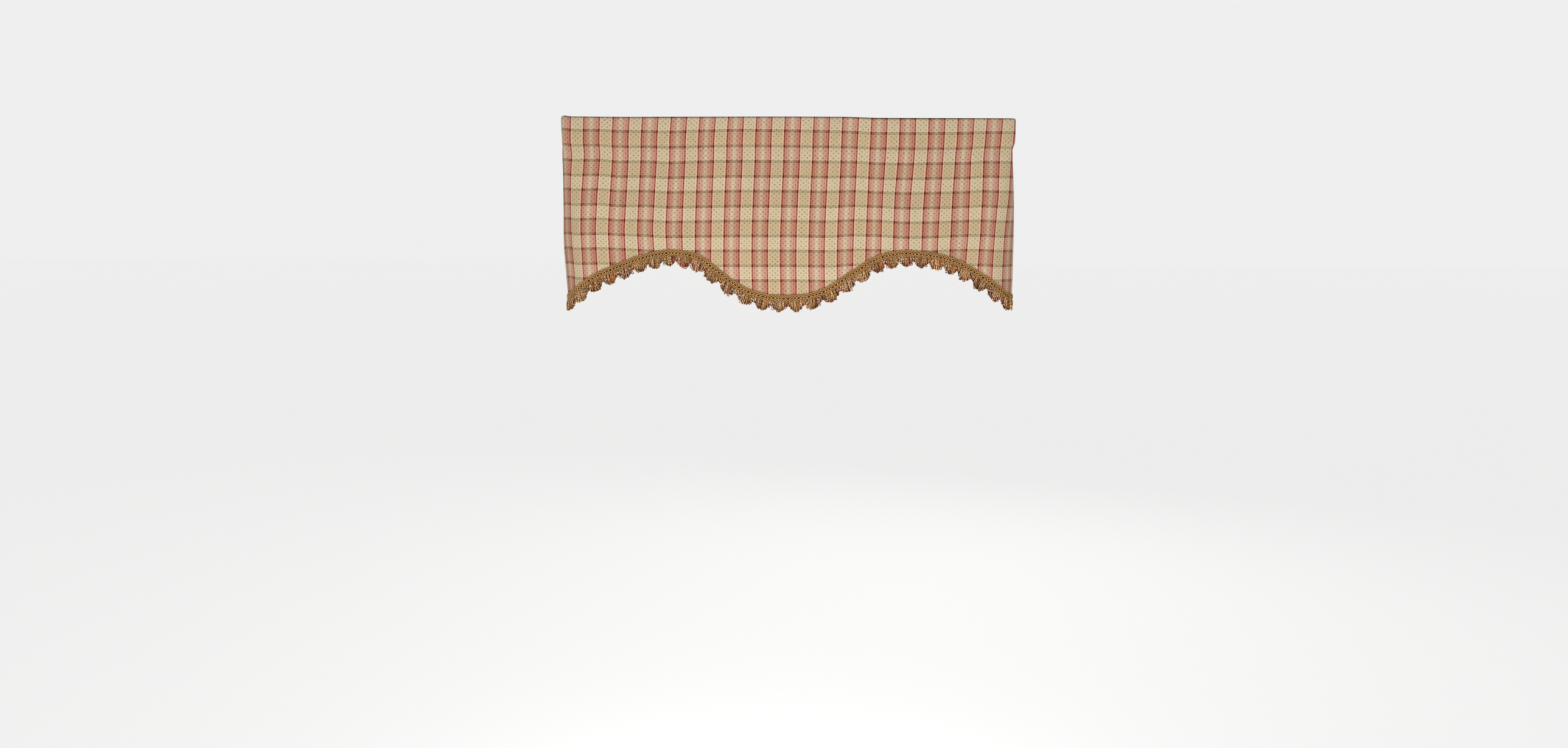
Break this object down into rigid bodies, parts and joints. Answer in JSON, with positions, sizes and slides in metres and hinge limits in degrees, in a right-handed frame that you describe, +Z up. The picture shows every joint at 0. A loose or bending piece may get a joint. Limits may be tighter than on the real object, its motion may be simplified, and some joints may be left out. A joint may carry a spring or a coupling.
{
  "type": "window valance",
  "caption": "Short shaped curtain for the top of a window, with a rod pocket, returns at both ends and a looped trim along its scalloped hem.",
  "frame": {"origin": "middle of the rod pocket's top edge, halfway through the pocket's thickness", "axes": "+X along the window to the right as seen from the room, +Y to the wall, +Z up"},
  "size_m": [1.1769, 0.1219, 0.5004],
  "materials": {
    "check_cloth": "matt plain-weave cotton in a cream, tan and rose check with pin dots",
    "braid": "gold and brown corded braid with a row of small dark links",
    "loops": "twisted gold, rust and beige yarn"
  },
  "bodies": {
    "root": {"valance_panel": "check_cloth", "braid_heading": "braid", "loop_fringe": "loops"}
  },
  "joints": []
}
